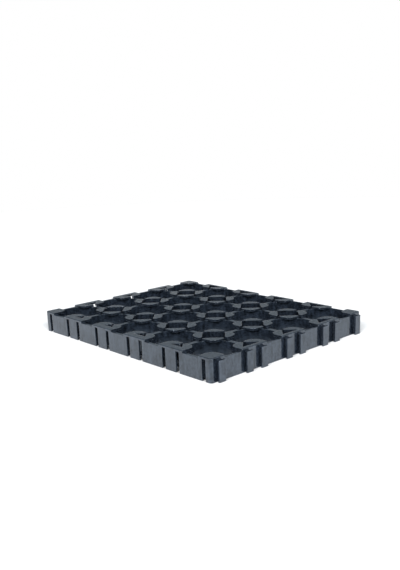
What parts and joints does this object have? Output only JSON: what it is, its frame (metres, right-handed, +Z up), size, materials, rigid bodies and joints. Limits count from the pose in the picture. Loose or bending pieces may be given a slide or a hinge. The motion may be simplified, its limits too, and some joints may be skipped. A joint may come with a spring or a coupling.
{
  "type": "battery cell holder bracket",
  "caption": "Black moulded bracket that holds a block of cylindrical battery cells by their ends, with rails and slots to join more.",
  "frame": {"origin": "middle of the cell grid on the flat underside", "axes": "+X along the side of five cells, towards the railed short side; +Y along the side of four cells, towards the railed long side; +Z up, towards the lips and the connecting-strip channels"},
  "size_m": [0.1025, 0.0823, 0.0084],
  "materials": {
    "black_plastic": "smooth moulded surface with a soft shine, slightly mottled"
  },
  "bodies": {
    "root": {"cell_holder_frame": "black_plastic"}
  },
  "joints": []
}
